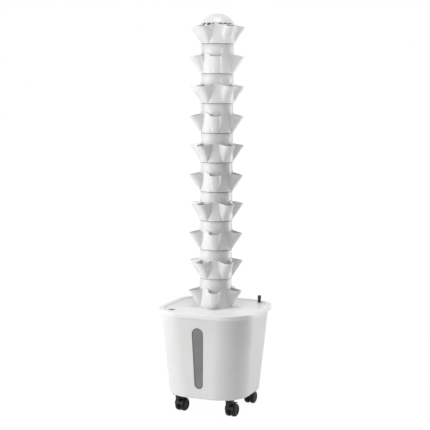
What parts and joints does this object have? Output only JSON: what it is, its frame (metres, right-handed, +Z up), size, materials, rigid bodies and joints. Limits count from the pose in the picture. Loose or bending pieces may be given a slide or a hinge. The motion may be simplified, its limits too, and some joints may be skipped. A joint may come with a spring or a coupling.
{
  "type": "hydroponic tower",
  "caption": "White hydroponic tower of stacked planting layers with flared pockets, standing on a lidded rounded-square water tank with a level window and twin-wheel casters.",
  "frame": {"origin": "on the floor under the tower's axis, level with the lowest point of the wheels", "axes": "+Z up the tower; the level window faces -Y; +X is to the right when looking at the window"},
  "size_m": [0.3496, 0.3496, 1.366],
  "materials": {
    "white_plastic": "satin",
    "window_grey": "gloss",
    "black_plastic": "matte",
    "black_steel": "satin",
    "black_rubber": "matte",
    "impeller_plastic": "matte",
    "steel": "brushed"
  },
  "bodies": {
    "base": {"reservoir_tank": "white_plastic", "window_lens": "window_grey", "window_gasket": "black_rubber", "cable_grommet": "black_rubber", "pump_body": "black_plastic", "pump_strainer": "black_plastic", "pump_shaft": "steel", "pump_outlet": "black_plastic", "pump_feet": "black_rubber", "riser_pipe": "white_plastic", "water_distributor": "white_plastic", "caster_screws": "steel", "caster_front_left_plate": "black_steel", "caster_front_right_plate": "black_steel", "caster_rear_left_plate": "black_steel", "caster_rear_right_plate": "black_steel"},
    "tower": {"reservoir_lid": "white_plastic", "gauge_bush": "white_plastic", "planting_layer_01": "white_plastic", "planting_layer_02": "white_plastic", "planting_layer_03": "white_plastic", "planting_layer_04": "white_plastic", "planting_layer_05": "white_plastic", "planting_layer_06": "white_plastic", "planting_layer_07": "white_plastic", "planting_layer_08": "white_plastic", "planting_layer_09": "white_plastic", "planting_layer_10": "white_plastic"},
    "cap": {"tower_cap": "white_plastic"},
    "gauge": {"gauge_rod": "black_plastic", "gauge_float": "white_plastic"},
    "impeller": {"pump_impeller": "impeller_plastic"},
    "caster_front_left": {"caster_front_left_yoke": "black_plastic", "caster_front_left_axle": "steel"},
    "caster_front_left_wheel_a_body": {"caster_front_left_wheel_a": "black_plastic"},
    "caster_front_left_wheel_b_body": {"caster_front_left_wheel_b": "black_plastic"},
    "caster_front_right": {"caster_front_right_yoke": "black_plastic", "caster_front_right_axle": "steel"},
    "caster_front_right_wheel_a_body": {"caster_front_right_wheel_a": "black_plastic"},
    "caster_front_right_wheel_b_body": {"caster_front_right_wheel_b": "black_plastic"},
    "caster_rear_left": {"caster_rear_left_yoke": "black_plastic", "caster_rear_left_axle": "steel"},
    "caster_rear_left_wheel_a_body": {"caster_rear_left_wheel_a": "black_plastic"},
    "caster_rear_left_wheel_b_body": {"caster_rear_left_wheel_b": "black_plastic"},
    "caster_rear_right": {"caster_rear_right_yoke": "black_plastic", "caster_rear_right_axle": "steel"},
    "caster_rear_right_wheel_a_body": {"caster_rear_right_wheel_a": "black_plastic"},
    "caster_rear_right_wheel_b_body": {"caster_rear_right_wheel_b": "black_plastic"}
  },
  "joints": [
    {"name": "lid_lift", "type": "slide", "parent": "base", "child": "tower", "axis": [0, 0, 1], "range_m": [0, 0.15]},
    {"name": "cap_lift", "type": "slide", "parent": "tower", "child": "cap", "axis": [0, 0, 1], "range_m": [0, 0.06]},
    {"name": "gauge_float_travel", "type": "slide", "parent": "tower", "child": "gauge", "axis": [0, 0, 1], "range_m": [-0.022, 0.004]},
    {"name": "impeller_spin", "type": "hinge", "parent": "base", "child": "impeller", "pos_m": [0, 0, 0.1085], "axis": [0, 1, 0], "continuous": true},
    {"name": "caster_front_left_swivel", "type": "hinge", "parent": "base", "child": "caster_front_left", "pos_m": [-0.093, -0.093, 0.05], "axis": [0, 0, 1], "continuous": true},
    {"name": "caster_front_left_wheel_a_roll", "type": "hinge", "parent": "caster_front_left", "child": "caster_front_left_wheel_a_body", "pos_m": [-0.09112, -0.0751, 0.023], "axis": [-0.9945, 0.1045, 0], "continuous": true},
    {"name": "caster_front_left_wheel_b_roll", "type": "hinge", "parent": "caster_front_left", "child": "caster_front_left_wheel_b_body", "pos_m": [-0.09112, -0.0751, 0.023], "axis": [-0.9945, 0.1045, 0], "continuous": true},
    {"name": "caster_front_right_swivel", "type": "hinge", "parent": "base", "child": "caster_front_right", "pos_m": [0.093, -0.093, 0.05], "axis": [0, 0, 1], "continuous": true},
    {"name": "caster_front_right_wheel_a_roll", "type": "hinge", "parent": "caster_front_right", "child": "caster_front_right_wheel_a_body", "pos_m": [0.09457, -0.07507, 0.023], "axis": [-0.9962, 0.0872, 0], "continuous": true},
    {"name": "caster_front_right_wheel_b_roll", "type": "hinge", "parent": "caster_front_right", "child": "caster_front_right_wheel_b_body", "pos_m": [0.09457, -0.07507, 0.023], "axis": [-0.9962, 0.0872, 0], "continuous": true},
    {"name": "caster_rear_left_swivel", "type": "hinge", "parent": "base", "child": "caster_rear_left", "pos_m": [-0.093, 0.093, 0.05], "axis": [0, 0, 1], "continuous": true},
    {"name": "caster_rear_left_wheel_a_roll", "type": "hinge", "parent": "caster_rear_left", "child": "caster_rear_left_wheel_a_body", "pos_m": [-0.093, 0.111, 0.023], "axis": [-1, 0, 0], "continuous": true},
    {"name": "caster_rear_left_wheel_b_roll", "type": "hinge", "parent": "caster_rear_left", "child": "caster_rear_left_wheel_b_body", "pos_m": [-0.093, 0.111, 0.023], "axis": [-1, 0, 0], "continuous": true},
    {"name": "caster_rear_right_swivel", "type": "hinge", "parent": "base", "child": "caster_rear_right", "pos_m": [0.093, 0.093, 0.05], "axis": [0, 0, 1], "continuous": true},
    {"name": "caster_rear_right_wheel_a_roll", "type": "hinge", "parent": "caster_rear_right", "child": "caster_rear_right_wheel_a_body", "pos_m": [0.093, 0.111, 0.023], "axis": [-1, 0, 0], "continuous": true},
    {"name": "caster_rear_right_wheel_b_roll", "type": "hinge", "parent": "caster_rear_right", "child": "caster_rear_right_wheel_b_body", "pos_m": [0.093, 0.111, 0.023], "axis": [-1, 0, 0], "continuous": true}
  ]
}
